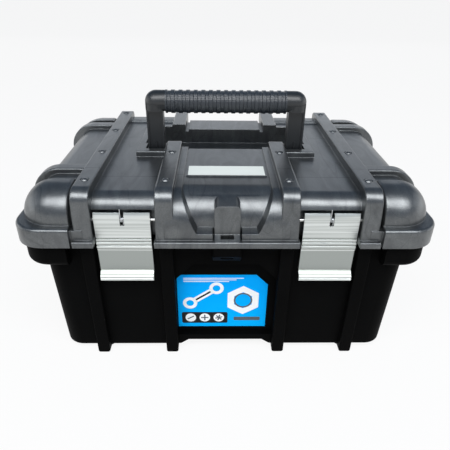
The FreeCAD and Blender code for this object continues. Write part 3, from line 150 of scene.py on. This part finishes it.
def printed_vinyl():
    """Blue ink under a clear film: even colour with a fine print dot and a soft gloss."""
    finish, tree, shader, place = new_finish("printed_vinyl")
    # The print dot is about 0.15 mm, drawn coarser so that it shows
    dot_size = 0.7 * MM
    height = add_node(tree, "SeparateXYZ", {"Vector": place})
    fade = add_node(tree, "MapRange", {"Value": height.outputs["Z"], "From Min": film_low.z,
                                       "From Max": film_high.z})
    dots = add_node(tree, "TexVoronoi", {"Vector": place, "Scale": 1 / dot_size})
    blue = add_node(tree, "Mix", {0: fade.outputs["Result"], 6: linear("#00b2f7"), 7: linear("#009af2")},
                    data_type="RGBA")
    ink = add_node(tree, "Mix", {0: dots.outputs["Distance"], 6: blue.outputs[2], 7: linear("#02a4f2")},
                   data_type="RGBA")
    feed(tree, shader, {"Base Color": ink.outputs[2], "Roughness": 0.38, "Specular IOR Level": 0.03})
    return finish


film = moulded_copy("front_label", "label_film")
fit(film, printed_vinyl(), "base", "label_print", "front_label")


# Print on the film: a plain hardware design of a nut, a ring spanner and three screw heads, laid on
# as opaque inks in black, white and grey. Each ink is printed over the ones before it, so it stands
# a little higher.

black_depth = 0.06 * MM
white_depth = 0.1 * MM
grey_depth = 0.14 * MM


def printing_ink(name, low, high):
    """Screen printed ink: even and opaque, with a slight mottle and a dull gloss."""
    finish, tree, shader, place = new_finish(name)
    # The mottle is about 0.3 mm, drawn coarser so that it shows
    mottle_size = 0.8 * MM
    mottle = add_node(tree, "TexNoise", {"Vector": place, "Scale": 1 / mottle_size, "Detail": 3})
    shade = add_node(tree, "Mix", {0: mottle.outputs["Fac"], 6: linear(low), 7: linear(high)},
                     data_type="RGBA")
    gloss = add_node(tree, "MapRange", {"Value": mottle.outputs["Fac"], "To Min": 0.36, "To Max": 0.5})
    feed(tree, shader, {"Base Color": shade.outputs[2], "Roughness": gloss.outputs["Result"],
                        "Specular IOR Level": 0.12})
    return finish


def start_print(name):
    """A new empty print, open for editing."""
    bpy.ops.object.select_all(action="DESELECT")
    bpy.ops.mesh.primitive_plane_add(size=MM)
    layer = bpy.context.active_object
    layer.name = name
    bpy.ops.object.mode_set(mode="EDIT")
    bpy.ops.mesh.delete(type="VERT")
    return layer


def on_film(across, up):
    """A place on the face of the film, in millimetres from its lower left corner."""
    return Vector((film_low.x + across * MM, film_face, film_low.z + up * MM))


def print_bar(across, up, width, height, corner, turn=0):
    """A bar with round corners, turned about its middle."""
    place = on_film(across, up)
    bpy.ops.mesh.primitive_plane_add(size=1, location=place, rotation=(math.radians(90), 0, 0))
    bpy.ops.transform.resize(value=(width * MM, 1, height * MM), center_override=place)
    bpy.ops.mesh.bevel(offset=corner * MM, segments=5, affect="VERTICES")
    bpy.ops.transform.rotate(value=math.radians(turn), orient_axis="Y", center_override=place)


def print_disc(across, up, radius, hole, corners):
    """A disc or a regular outline, with a hole of the same outline where one is given."""
    bpy.ops.mesh.primitive_circle_add(vertices=corners, radius=radius * MM, fill_type="NGON",
                                      location=on_film(across, up), rotation=(math.radians(90), 0, 0))
    if hole:
        bpy.ops.mesh.inset(thickness=(radius - hole) * MM * math.cos(math.pi / corners))
        bpy.ops.mesh.delete(type="FACE")


def finish_print(layer, finish, depth):
    """Give the flat print the thickness of its ink, over the inks printed before it."""
    bpy.ops.object.mode_set(mode="OBJECT")
    thick = layer.modifiers.new("ink_depth", "SOLIDIFY")
    thick.thickness = depth
    thick.offset = 1
    bpy.ops.object.modifier_apply(modifier=thick.name)
    fit(layer, finish, "base", "label_print")


round_corners = 40
left_margin = 7
rule_length = 66
rule_shorter = 8
rule_top = 68.5
rule_pitch = 2.2
screw_places = (14, 30, 46)
screw_height = 13
slot_turns = ((30,), (0, 90), (15, 75, 135))
spanner_middle = (28.5, 44.5)
spanner_reach = 18
spanner_edge = 2.4
spanner_slope = 35
nut_middle = (73, 38)

black_print = start_print("label_black_print")
print_bar(30, screw_height, width=52, height=16, corner=2)
print_bar(*spanner_middle, width=20, height=2.2, corner=0.8, turn=spanner_slope)
finish_print(black_print, printing_ink("black_ink", "#101113", "#191a1c"), black_depth)

white_print = start_print("label_white_print")
print_disc(*nut_middle, radius=20, hole=11.5, corners=6)
slope = math.radians(spanner_slope)
for end in (-1, 1):
    print_disc(spanner_middle[0] + end * spanner_reach * math.cos(slope),
               spanner_middle[1] + end * spanner_reach * math.sin(slope),
               radius=8, hole=4.2, corners=round_corners)
    print_bar(spanner_middle[0] - end * spanner_edge * math.sin(slope),
              spanner_middle[1] + end * spanner_edge * math.cos(slope),
              width=24, height=2.6, corner=0.6, turn=spanner_slope)
for across in screw_places:
    print_disc(across, screw_height, radius=6, hole=0, corners=round_corners)
for step in range(3):
    length = rule_length - step * rule_shorter
    print_bar(left_margin + length / 2, rule_top - step * rule_pitch, width=length, height=0.9, corner=0.3)
finish_print(white_print, printing_ink("white_ink", "#e6e7e6", "#f2f3f2"), white_depth)

grey_print = start_print("label_grey_print")
print_disc(*nut_middle, radius=10.4, hole=8.6, corners=round_corners)
print_bar(78, 11.5, width=30, height=5, corner=1.2)
for across, turns in zip(screw_places, slot_turns):
    for turn in turns:
        print_bar(across, screw_height, width=8.4, height=1.5, corner=0.5, turn=turn)
finish_print(grey_print, printing_ink("grey_ink", "#4d545a", "#596066"), grey_depth)


# Hinge pins: two lengths of bright drawn steel rod at the back of the box.
# Each is pushed through the knuckles of tub and lid in turn, and held by the tub's.

sides = ("left", "right")


def drawn_steel():
    """Drawn through a die: bright grey metal with faint lines along the rod."""
    finish, tree, shader, place = new_finish("drawn_steel")
    # The die lines are a few hundredths of a millimetre apart, drawn coarser so that they show
    line_size = 0.3 * MM
    stretched = add_node(tree, "Mapping", {"Vector": place, "Scale": (0.02, 1, 1)})
    lines = add_node(tree, "TexNoise", {"Vector": stretched.outputs["Vector"], "Scale": 1 / line_size})
    shade = add_node(tree, "Mix", {0: lines.outputs["Fac"], 6: linear("#b9bab8"), 7: linear("#dededb")},
                     data_type="RGBA")
    gloss = add_node(tree, "MapRange", {"Value": lines.outputs["Fac"], "To Min": 0.2, "To Max": 0.34})
    feed(tree, shader, {"Base Color": shade.outputs[2], "Roughness": gloss.outputs["Result"], "Metallic": 1})
    return finish


bright_rod = drawn_steel()
for side in sides:
    pin = moulded_copy(side + "_hinge_pin", side + "_hinge_rod")
    fit(pin, bright_rod, "base", "pin_steel", side + "_hinge_pin")


# Lift-out tray: a shallow moulding of grey polypropylene with a carrying bar. It rests loose on two
# ledges inside the tub.

def grey_polypropylene():
    """Plain moulded grey with a soft texture."""
    finish, tree, shader, place = new_finish("grey_polypropylene")
    # The moulded grain is about 0.15 mm, drawn coarser so that it shows
    grain_size = 1.1 * MM
    grain_depth = 0.05 * MM
    patch_size = 70 * MM
    grain = add_node(tree, "TexNoise", {"Vector": place, "Scale": 1 / grain_size, "Detail": 3})
    patches = add_node(tree, "TexNoise", {"Vector": place, "Scale": 1 / patch_size, "Detail": 4})
    shade = add_node(tree, "Mix", {0: patches.outputs["Fac"], 6: linear("#70767b"), 7: linear("#7c8287")},
                     data_type="RGBA")
    gloss = add_node(tree, "MapRange", {"Value": patches.outputs["Fac"], "To Min": 0.45, "To Max": 0.58})
    texture = add_node(tree, "Bump", {"Height": grain.outputs["Fac"], "Strength": 0.12,
                                      "Distance": grain_depth})
    feed(tree, shader, {"Base Color": shade.outputs[2], "Roughness": gloss.outputs["Result"],
                        "Normal": texture.outputs["Normal"], "IOR": 1.49})
    return finish


tray = moulded_copy("tray", "lift_out_insert")
fit(tray, grey_polypropylene(), "lift_out_tray", "tray_plastic", "tray")


# Lid: one moulding of polypropylene filled with aluminium flake, with ribs, straps, bumpers and
# the handle's recess. The flake gives a grey sheen, and the flow of the melt leaves faint streaks,
# weld lines where two fronts met, and witness lines of the tool's inserts.

def flake_filled_plastic():
    """Grey plastic with metal flake: broad bright highlights on the bends, cloudy flow streaks."""
    finish, tree, shader, place = new_finish("flake_filled_plastic")
    # The flakes are about 0.1 mm, drawn coarser so that they show
    flake_size = 0.9 * MM
    flake_depth = 0.07 * MM
    streak_size = 22 * MM
    streak_stretch = (1, 0.3, 0.6)
    weld_size = 34 * MM
    weld_stretch = (1, 0.16, 0.4)
    weld_width = 0.006
    weld_share = 0.22
    witness_width = 0.35 * MM
    witness_places = (-79 * MM, 48 * MM)
    edge_radius = 1.3 * MM
    stretched = add_node(tree, "Mapping", {"Vector": place, "Scale": streak_stretch})
    streaks = add_node(tree, "TexNoise", {"Vector": stretched.outputs["Vector"], "Scale": 1 / streak_size,
                                          "Detail": 6, "Roughness": 0.62, "Distortion": 1.6})
    cloud = add_node(tree, "MapRange", {"Value": streaks.outputs["Fac"], "From Min": 0.32,
                                        "From Max": 0.68})
    flakes = add_node(tree, "TexNoise", {"Vector": place, "Scale": 1 / flake_size, "Detail": 2})
    flow = add_node(tree, "Mix", {0: cloud.outputs["Result"], 6: linear("#5f6163"), 7: linear("#828586")},
                    data_type="RGBA")
    speckled = add_node(tree, "Mix", {0: flakes.outputs["Fac"], 6: linear("#535556"), 7: flow.outputs[2]},
                        data_type="RGBA")
    drawn_out = add_node(tree, "Mapping", {"Vector": place, "Scale": weld_stretch})
    fronts = add_node(tree, "TexNoise", {"Vector": drawn_out.outputs["Vector"], "Scale": 1 / weld_size,
                                         "Detail": 1, "Distortion": 0.4})
    weld = add_node(tree, "Math", {0: fronts.outputs["Fac"], 1: 0.5, 2: weld_width}, operation="COMPARE")
    faint = add_node(tree, "Math", {0: weld.outputs[0], 1: weld_share}, operation="MULTIPLY")
    parts = add_node(tree, "SeparateXYZ", {"Vector": place})
    shade = add_node(tree, "Mix", {0: faint.outputs[0], 6: speckled.outputs[2], 7: linear("#3f4142")},
                     data_type="RGBA").outputs[2]
    for witness in witness_places:
        line = add_node(tree, "Math", {0: parts.outputs["Y"], 1: witness, 2: witness_width},
                        operation="COMPARE")
        shade = add_node(tree, "Mix", {0: line.outputs[0], 6: shade, 7: linear("#393c3f")},
                         data_type="RGBA").outputs[2]
    gloss = add_node(tree, "MapRange", {"Value": flakes.outputs["Fac"], "To Min": 0.28, "To Max": 0.38})
    edges = add_node(tree, "Bevel", {"Radius": edge_radius}, samples=6)
    texture = add_node(tree, "Bump", {"Height": flakes.outputs["Fac"], "Strength": 0.3,
                                      "Distance": flake_depth, "Normal": edges.outputs["Normal"]})
    feed(tree, shader, {"Base Color": shade, "Roughness": gloss.outputs["Result"],
                        "Normal": texture.outputs["Normal"], "Metallic": 0.9, "Specular IOR Level": 0.5})
    return finish


hood = moulded_copy("lid_shell", "lid")
fit(hood, flake_filled_plastic(), "lid", "lid_plastic", "lid_shell")


# Blank plate on the sunk panel of the lid: thin bright aluminium sheet, brushed along its length and
# glued down.

def brushed_sheet():
    """Brushed lengthways: bright, with fine lines that spread the highlight."""
    finish, tree, shader, place = new_finish("brushed_sheet")
    # The brush lines are about 0.05 mm apart, drawn coarser so that they show
    line_size = 0.4 * MM
    stretched = add_node(tree, "Mapping", {"Vector": place, "Scale": (0.01, 1, 1)})
    lines = add_node(tree, "TexNoise", {"Vector": stretched.outputs["Vector"], "Scale": 1 / line_size})
    shade = add_node(tree, "Mix", {0: lines.outputs["Fac"], 6: linear("#ced3cd"), 7: linear("#e3e8e1")},
                     data_type="RGBA")
    gloss = add_node(tree, "MapRange", {"Value": lines.outputs["Fac"], "To Min": 0.25, "To Max": 0.4})
    feed(tree, shader, {"Base Color": shade.outputs[2], "Roughness": gloss.outputs["Result"],
                        "Metallic": 0.3})
    return finish


plate = moulded_copy("nameplate", "blank_plate")
fit(plate, brushed_sheet(), "lid", "plate_metal", "nameplate")


# Latch pins and springs: a length of the same drawn rod across each latch bay, seated in its walls,
# and a zinc plated wire spring wound round it. One leg of the spring bears on the lid and the other
# on the latch.

def plated_wire():
    """Zinc plated wire: bluish bright metal with a slightly uneven gloss."""
    finish, tree, shader, place = new_finish("plated_wire")
    patch_size = 0.8 * MM
    patches = add_node(tree, "TexNoise", {"Vector": place, "Scale": 1 / patch_size})
    shade = add_node(tree, "Mix", {0: patches.outputs["Fac"], 6: linear("#c4c8cb"), 7: linear("#e4e6e8")},
                     data_type="RGBA")
    gloss = add_node(tree, "MapRange", {"Value": patches.outputs["Fac"], "To Min": 0.2, "To Max": 0.35})
    feed(tree, shader, {"Base Color": shade.outputs[2], "Roughness": gloss.outputs["Result"], "Metallic": 1})
    return finish


spring_wire = plated_wire()
for side in sides:
    rod = moulded_copy(side + "_latch_pin", side + "_latch_rod")
    fit(rod, bright_rod, "lid", "pin_steel", side + "_latch_pin")
    coil = moulded_copy(side + "_latch_spring", side + "_latch_coil", smooth_angle=60)
    fit(coil, spring_wire, "lid", "spring_steel", side + "_latch_spring")


# Latch plates: cut lengths of an aluminium extrusion, satin anodised, with three ridges, a smooth
# thumb flat and a flared lip. Die lines run across each plate, and each hangs on its pin.

latch_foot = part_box("left_latch_plate")[0].z


def anodised_extrusion():
    """Extruded and anodised: pale satin metal with die lines; the thumb flat is painted darker as shade, and
    thin painted shade lines run along the grooves and across the lip.
    """
    finish, tree, shader, place = new_finish("anodised_extrusion")
    # The die lines are about 0.1 mm apart, drawn coarser so that they show
    line_size = 0.8 * MM
    line_depth = 0.04 * MM
    # Painted shade: the plate is painted darker from the thumb flat down to the lip, standing in for the
    # shade it takes as it faces a little downwards.
    shade_band_low = latch_foot + 4.7 * MM
    shade_band_high = latch_foot + 33.3 * MM
    # Painted shade: thin dark lines at these heights above the foot, in the ridge grooves, at the step above
    # the thumb flat and across the lip.
    shade_line_heights = (48.4, 44.8, 40.6, 36.1, 9.4, 6.2)
    shade_line_width = 0.4 * MM
    edge_radius = 0.5 * MM
    stretched = add_node(tree, "Mapping", {"Vector": place, "Scale": (0.004, 1, 1)})
    lines = add_node(tree, "TexNoise", {"Vector": stretched.outputs["Vector"], "Scale": 1 / line_size,
                                        "Detail": 3})
    drawn = add_node(tree, "MapRange", {"Value": lines.outputs["Fac"], "From Min": 0.34, "From Max": 0.66})
    shade = add_node(tree, "Mix", {0: drawn.outputs["Result"], 6: linear("#b0b5b2"), 7: linear("#e6eae8")},
                     data_type="RGBA")
    height = add_node(tree, "SeparateXYZ", {"Vector": place})
    # Mask of the painted shade band between these two heights.
    above = add_node(tree, "Math", {0: height.outputs["Z"], 1: shade_band_low}, operation="GREATER_THAN")
    below = add_node(tree, "Math", {0: height.outputs["Z"], 1: shade_band_high}, operation="LESS_THAN")
    painted_shade_band = add_node(tree, "Math", {0: above.outputs[0], 1: below.outputs[0]}, operation="MULTIPLY")
    metal = add_node(tree, "Mix", {0: painted_shade_band.outputs[0], 6: shade.outputs[2], 7: linear("#a3a8a5")},
                     data_type="RGBA").outputs[2]
    # Each painted shade line darkens the colour within a narrow height at one of the heights listed above.
    for shaded_height in shade_line_heights:
        painted_shade_line = add_node(tree, "Math", {0: height.outputs["Z"], 1: latch_foot + shaded_height * MM,
                                       2: shade_line_width}, operation="COMPARE")
        metal = add_node(tree, "Mix", {0: painted_shade_line.outputs[0], 6: metal, 7: linear("#70746f")},
                         data_type="RGBA").outputs[2]
    gloss = add_node(tree, "MapRange", {"Value": lines.outputs["Fac"], "To Min": 0.32, "To Max": 0.46})
    edges = add_node(tree, "Bevel", {"Radius": edge_radius}, samples=4)
    texture = add_node(tree, "Bump", {"Height": lines.outputs["Fac"], "Strength": 0.25,
                                      "Distance": line_depth, "Normal": edges.outputs["Normal"]})
    feed(tree, shader, {"Base Color": metal, "Roughness": gloss.outputs["Result"],
                        "Normal": texture.outputs["Normal"], "Metallic": 1})
    return finish


satin_aluminium = anodised_extrusion()
for side in sides:
    latch = moulded_copy(side + "_latch_plate", side + "_latch")
    fit(latch, satin_aluminium, side + "_latch", "latch_aluminium", side + "_latch_plate")


# Handle: a bow of black ABS, moulded in one with its round core and its legs with sunk faces.
# It turns on two steel pins that sit in the lid's sockets.

def black_abs():
    """Moulded ABS: near black with a low even gloss."""
    finish, tree, shader, place = new_finish("black_abs")
    # The moulded grain is about 0.15 mm, drawn coarser so that it shows
    grain_size = 0.8 * MM
    grain_depth = 0.04 * MM
    grain = add_node(tree, "TexNoise", {"Vector": place, "Scale": 1 / grain_size, "Detail": 3})
    shade = add_node(tree, "Mix", {0: grain.outputs["Fac"], 6: linear("#0f1214"), 7: linear("#171a1d")},
                     data_type="RGBA")
    gloss = add_node(tree, "MapRange", {"Value": grain.outputs["Fac"], "To Min": 0.34, "To Max": 0.44})
    texture = add_node(tree, "Bump", {"Height": grain.outputs["Fac"], "Strength": 0.1,
                                      "Distance": grain_depth})
    feed(tree, shader, {"Base Color": shade.outputs[2], "Roughness": gloss.outputs["Result"],
                        "Normal": texture.outputs["Normal"], "IOR": 1.53, "Specular IOR Level": 0.6})
    return finish


for side in sides:
    pin = moulded_copy(side + "_handle_pin", side + "_handle_rod")
    fit(pin, bright_rod, "lid", "pin_steel", side + "_handle_pin")
bow = moulded_copy("handle_bar", "handle_bow")
fit(bow, black_abs(), "handle", "handle_plastic", "handle_bar")


# Grip: a sleeve of dark slate rubber, moulded over the bow's round core.
# It has raised rings for the fingers, and a diamond knurl on and between them.

grip_low, grip_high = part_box("handle_grip")
grip_axis = (grip_low + grip_high) / 2


def slate_rubber():
    """Soft moulded rubber: dark blue grey, dull, with a diamond knurl that glints."""
    finish, tree, shader, place = new_finish("slate_rubber")
    # The moulded grain is about 0.1 mm, drawn coarser so that it shows
    grain_size = 0.6 * MM
    grain_depth = 0.05 * MM
    knurl_pitch = 1.7 * MM
    knurl_depth = 0.2 * MM
    radius = (grip_high.z - grip_low.z) / 2
    grain = add_node(tree, "TexNoise", {"Vector": place, "Scale": 1 / grain_size, "Detail": 3})
    shade = add_node(tree, "Mix", {0: grain.outputs["Fac"], 6: linear("#1f2328"), 7: linear("#2b3036")},
                     data_type="RGBA")
    gloss = add_node(tree, "MapRange", {"Value": grain.outputs["Fac"], "To Min": 0.28, "To Max": 0.36})
    centred = add_node(tree, "Mapping", {"Vector": place, "Location": -grip_axis})
    parts = add_node(tree, "SeparateXYZ", {"Vector": centred.outputs["Vector"]})
    turn = add_node(tree, "Math", {0: parts.outputs["Y"], 1: parts.outputs["Z"]}, operation="ARCTAN2")
    around = add_node(tree, "Math", {0: turn.outputs[0], 1: radius}, operation="MULTIPLY")
    one_way = add_node(tree, "Math", {0: parts.outputs["X"], 1: around.outputs[0]}, operation="ADD")
    other_way = add_node(tree, "Math", {0: parts.outputs["X"], 1: around.outputs[0]}, operation="SUBTRACT")
    waves = []
    for slant in (one_way, other_way):
        phase = add_node(tree, "Math", {0: slant.outputs[0], 1: math.pi / knurl_pitch},
                         operation="MULTIPLY")
        waves.append(add_node(tree, "Math", {0: phase.outputs[0]}, operation="SINE"))
    knurl = add_node(tree, "Math", {0: waves[0].outputs[0], 1: waves[1].outputs[0]}, operation="MULTIPLY")
    diamonds = add_node(tree, "Bump", {"Height": knurl.outputs[0], "Strength": 0.5,
                                       "Distance": knurl_depth})
    texture = add_node(tree, "Bump", {"Height": grain.outputs["Fac"], "Strength": 0.1,
                                      "Distance": grain_depth, "Normal": diamonds.outputs["Normal"]})
    feed(tree, shader, {"Base Color": shade.outputs[2], "Roughness": gloss.outputs["Result"],
                        "Normal": texture.outputs["Normal"], "Specular IOR Level": 0.6})
    return finish


grip = moulded_copy("handle_grip", "grip_sleeve")
fit(grip, slate_rubber(), "handle", "grip_rubber", "handle_grip")


# Floor and backdrop: a wide pale sheet under the box, and studio walls that are white low down and
# fade to a dim blue grey above, so that the lid's top faces reflect little.

floor_size = 40
glow_share = 0.9
fade_low = math.sin(math.radians(5))
fade_high = math.sin(math.radians(17))

bpy.ops.object.select_all(action="DESELECT")
bpy.ops.mesh.primitive_plane_add(size=floor_size, location=(0, 0, 0))
floor = bpy.context.active_object
floor.name = "floor"
paper = bpy.data.materials.new("white_paper")
paper.use_nodes = True
paper_tree = paper.node_tree
paper_tree.nodes.clear()
seen_by = add_node(paper_tree, "LightPath", {})
seen = add_node(paper_tree, "Math", {0: seen_by.outputs["Is Camera Ray"],
                                     1: seen_by.outputs["Is Glossy Ray"]}, operation="MAXIMUM")
seen_too = add_node(paper_tree, "Math", {0: seen.outputs[0], 1: seen_by.outputs["Is Transmission Ray"]},
                    operation="MAXIMUM")
share = add_node(paper_tree, "Math", {0: seen_too.outputs[0], 1: glow_share}, operation="MULTIPLY")
matt = add_node(paper_tree, "BsdfDiffuse", {"Color": linear("#d2d2d2")})
glow = add_node(paper_tree, "Emission", {"Color": linear("#ffffff"), "Strength": 1.0})
blend = add_node(paper_tree, "MixShader", {0: share.outputs[0], 1: matt.outputs[0], 2: glow.outputs[0]})
add_node(paper_tree, "OutputMaterial", {"Surface": blend.outputs[0]})
floor.data.materials.append(paper)

surround = bpy.data.worlds.new("surround")
surround.use_nodes = True
bpy.context.scene.world = surround
sky_tree = surround.node_tree
sky_tree.nodes.clear()
way_out = add_node(sky_tree, "TexCoord", {}).outputs["Generated"]
steepness = add_node(sky_tree, "SeparateXYZ", {"Vector": way_out})
fade = add_node(sky_tree, "MapRange", {"Value": steepness.outputs["Z"], "From Min": fade_low,
                                       "From Max": fade_high})
paint = add_node(sky_tree, "Mix", {0: fade.outputs["Result"], 6: linear("#ffffff"), 7: linear("#63778e")},
                 data_type="RGBA")
walls = add_node(sky_tree, "Background", {"Color": paint.outputs[2]})
add_node(sky_tree, "OutputWorld", {"Surface": walls.outputs[0]})


# Lights: a long soft box above the front of the box makes the highlights along the lid's bends.
# Weaker ones behind it and at its ends open up the shadows.

lid_middle = Vector((0, 0, 0.16))


def soft_box(name, place, width, height, watts):
    """A rectangular lamp that faces the middle of the lid."""
    bpy.ops.object.light_add(type="AREA", location=place)
    lamp = bpy.context.active_object
    lamp.name = name
    lamp.data.shape = "RECTANGLE"
    lamp.data.size = width
    lamp.data.size_y = height
    lamp.data.energy = watts
    lamp.visible_camera = False
    aim = lid_middle - Vector(place)
    lamp.rotation_euler = aim.to_track_quat("-Z", "Y").to_euler()


soft_box("key_box", (0, -0.92, 1.5), width=3.0, height=0.75, watts=47)
soft_box("rear_box", (0, 2.4, 0.9), width=3.0, height=1.2, watts=8)
soft_box("left_box", (-2.2, 0.2, 0.7), width=1.6, height=1.2, watts=6)
soft_box("right_box", (2.2, 0.2, 0.7), width=1.6, height=1.2, watts=6)


# Camera: half a metre in front of the box and above it, as someone sees it who stands at a bench.
# It is turned a little to the right and held a little out of level.

eye = Vector((-11.64, -513.59, 387.31)) * MM
tilt = math.radians(29.69)
swing = math.radians(1.41)
roll = math.radians(0.87)
sensor_width = 36
focal_pixels = 446.31
image_width = 450
ahead = Vector((math.sin(swing) * math.cos(tilt), math.cos(swing) * math.cos(tilt), -math.sin(tilt)))
across = Vector((math.cos(swing), -math.sin(swing), 0))
upward = across.cross(ahead)
turned_across = across * math.cos(roll) + upward * math.sin(roll)
turned_up = upward * math.cos(roll) - across * math.sin(roll)
bpy.ops.object.camera_add()
camera = bpy.context.active_object
camera.data.sensor_width = sensor_width
camera.data.lens = sensor_width * focal_pixels / image_width
axes = Matrix((turned_across, turned_up, -ahead)).transposed()
camera.matrix_world = Matrix.Translation(eye) @ axes.to_4x4()
bpy.context.scene.camera = camera
